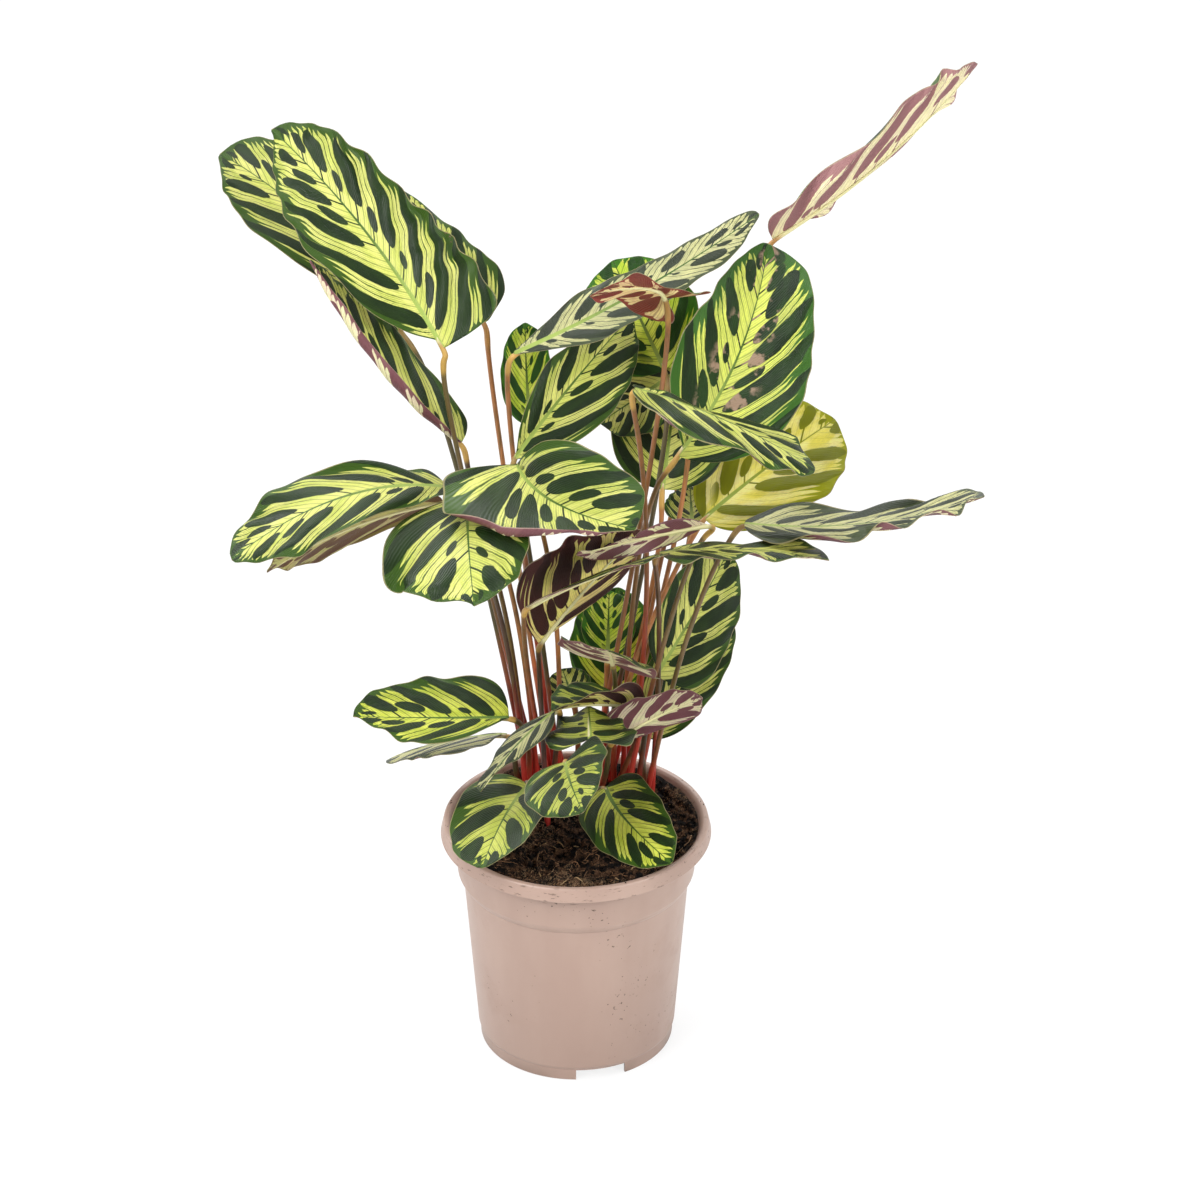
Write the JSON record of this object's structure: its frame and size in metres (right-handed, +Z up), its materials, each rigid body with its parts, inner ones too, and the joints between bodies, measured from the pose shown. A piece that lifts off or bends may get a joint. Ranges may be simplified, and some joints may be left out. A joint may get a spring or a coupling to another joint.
{
  "type": "potted calathea",
  "caption": "Potted calathea, a patterned foliage house plant of long-stalked oval leaves, growing from soil in a plain round nursery pot.",
  "frame": {"origin": "on the floor, under the middle of the whole plant's bounding box; the pot's axis stands 17 mm to its left (-X) and 26 mm in front of it (-Y)", "axes": "+Z up, +Y away from the side that the plant shows, +X to that side's right"},
  "size_m": [0.4674, 0.289, 0.6032],
  "materials": {
    "pot_plastic": "satin taupe moulded plastic",
    "potting_soil": "rough moist peat",
    "leaf": "satin green leaf with darker ovals, maroon underneath"
  },
  "bodies": {
    "root": {"pot": "pot_plastic", "soil": "potting_soil", "leaf_crown_left_front": "leaf", "leaf_crown_left_outer": "leaf", "leaf_crown_left_inner": "leaf", "leaf_crown_left_edgewise": "leaf", "leaf_crown_right_long": "leaf", "leaf_crown_middle_level": "leaf", "leaf_crown_front_nodding": "leaf", "leaf_upper_right_broad": "leaf", "leaf_upper_back_broad": "leaf", "leaf_upper_back_narrow": "leaf", "leaf_upper_middle": "leaf", "leaf_upper_back_hanging": "leaf", "leaf_upper_right_level": "leaf", "leaf_middle_back": "leaf", "leaf_middle_right_broad": "leaf", "leaf_middle_right_long": "leaf", "leaf_middle_right_under": "leaf", "leaf_middle_right_small": "leaf", "leaf_middle_front_broad": "leaf", "leaf_middle_left_arching": "leaf", "leaf_middle_left_under": "leaf", "leaf_middle_front_left": "leaf", "leaf_inner_upright": "leaf", "leaf_inner_edgewise": "leaf", "leaf_inner_rolled": "leaf", "leaf_inner_nodding": "leaf", "leaf_lower_right": "leaf", "leaf_lower_right_under": "leaf", "leaf_lower_back_small": "leaf", "leaf_lower_back": "leaf", "leaf_lower_right_turned": "leaf", "leaf_lower_front_arched": "leaf", "leaf_lower_front_folded": "leaf", "leaf_lower_left": "leaf", "leaf_lower_left_narrow": "leaf", "leaf_lower_left_drooping": "leaf", "leaf_young_left": "leaf", "leaf_young_middle": "leaf", "leaf_young_right": "leaf", "leaf_young_back": "leaf"}
  },
  "joints": []
}
